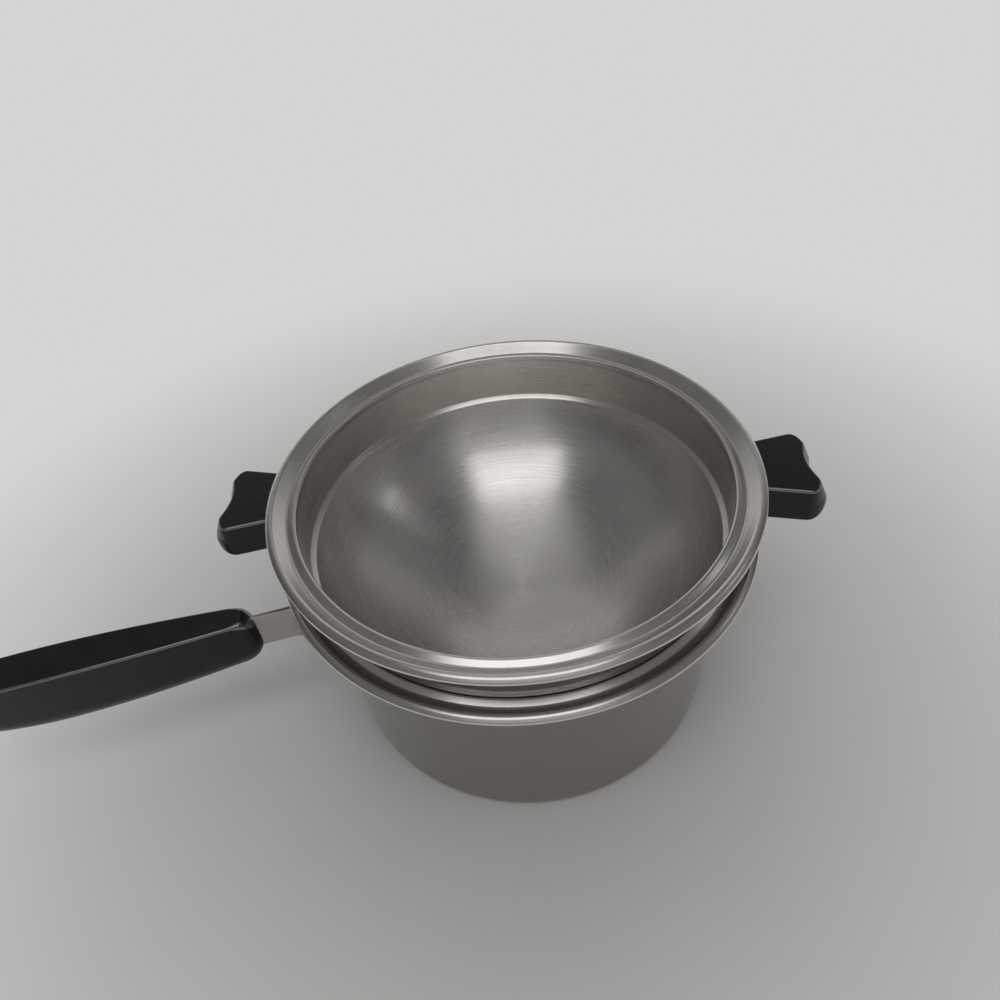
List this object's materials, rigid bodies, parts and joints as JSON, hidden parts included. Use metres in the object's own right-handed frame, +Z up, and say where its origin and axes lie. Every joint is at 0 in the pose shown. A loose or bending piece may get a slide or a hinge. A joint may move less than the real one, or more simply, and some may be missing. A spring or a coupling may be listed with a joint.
{
  "type": "double boiler",
  "caption": "Stovetop double boiler: a long-handled stainless saucepan whose mouth seats a round-bottomed insert with ear handles that lifts out.",
  "frame": {"origin": "centre of the saucepan's flat base, on its axis", "axes": "+Z up along the pan's axis, the long handle along -X"},
  "size_m": [0.4284, 0.2202, 0.1295],
  "materials": {
    "pan_steel": "clad stainless, polished outside, satin rim and inside",
    "insert_steel": "stainless, satin spun inside, polished outside",
    "bracket_steel": "satin stainless",
    "moulded_black": "black moulded phenolic, half gloss",
    "screw_steel": "plated steel",
    "bush_brass": "plain brass"
  },
  "bodies": {
    "saucepan": {"saucepan_body": "pan_steel", "handle_bracket": "bracket_steel", "handle_grip": "moulded_black", "handle_screws": "screw_steel", "handle_inserts": "bush_brass"},
    "insert": {"insert_bowl": "insert_steel", "ear_bracket_left": "bracket_steel", "ear_handle_left": "moulded_black", "ear_screw_left": "screw_steel", "ear_washer_left": "screw_steel", "ear_bracket_right": "bracket_steel", "ear_handle_right": "moulded_black", "ear_screw_right": "screw_steel", "ear_washer_right": "screw_steel"}
  },
  "joints": [
    {"name": "insert_lift", "type": "slide", "parent": "saucepan", "child": "insert", "axis": [0, 0, 1], "range_m": [0, 0.12]}
  ]
}
